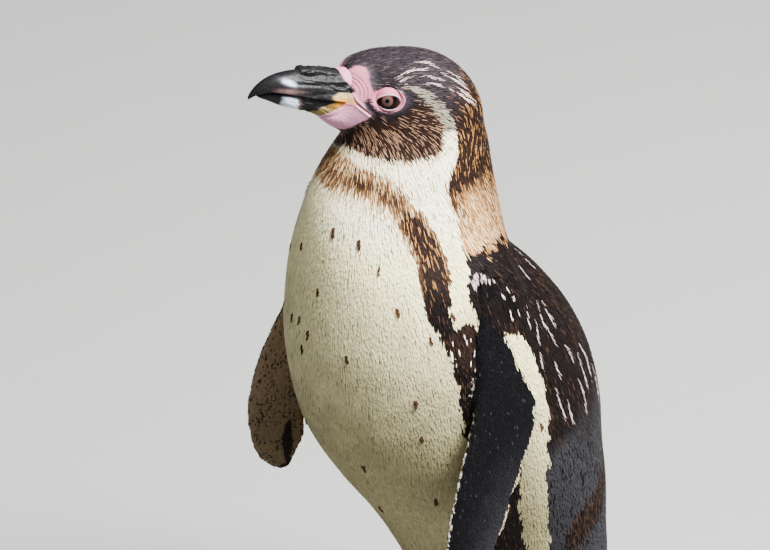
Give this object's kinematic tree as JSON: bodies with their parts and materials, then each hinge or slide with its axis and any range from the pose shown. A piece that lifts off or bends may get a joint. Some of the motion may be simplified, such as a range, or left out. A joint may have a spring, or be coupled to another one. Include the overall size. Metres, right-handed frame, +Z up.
{
  "type": "penguin figure",
  "caption": "Life-size standing penguin with a stout grooved bill, turned head, paddle flippers held at its sides, short legs, webbed clawed feet and a stiff tail.",
  "frame": {"origin": "on the floor, under the middle of the model's box", "axes": "+Z up; the breast faces -Y; the bird's left side is +X"},
  "size_m": [0.1812, 0.2546, 0.4831],
  "materials": {
    "plumage_pale": "matte",
    "plumage_dark": "matte",
    "horn": "satin",
    "eye": "gloss",
    "foot_skin": "matte"
  },
  "bodies": {
    "root": {"head": "plumage_dark", "neck": "plumage_pale", "trunk": "plumage_pale", "tail": "plumage_dark", "bill_upper": "horn", "bill_lower": "horn", "eye_left": "eye", "eye_right": "eye", "flipper_left": "plumage_dark", "flipper_right": "plumage_dark", "leg_left": "plumage_pale", "leg_right": "plumage_pale", "foot_left": "foot_skin", "foot_right": "foot_skin", "claw_left_inner": "horn", "claw_left_middle": "horn", "claw_left_outer": "horn", "claw_left_rear": "horn", "claw_right_inner": "horn", "claw_right_middle": "horn", "claw_right_outer": "horn", "claw_right_rear": "horn"}
  },
  "joints": []
}
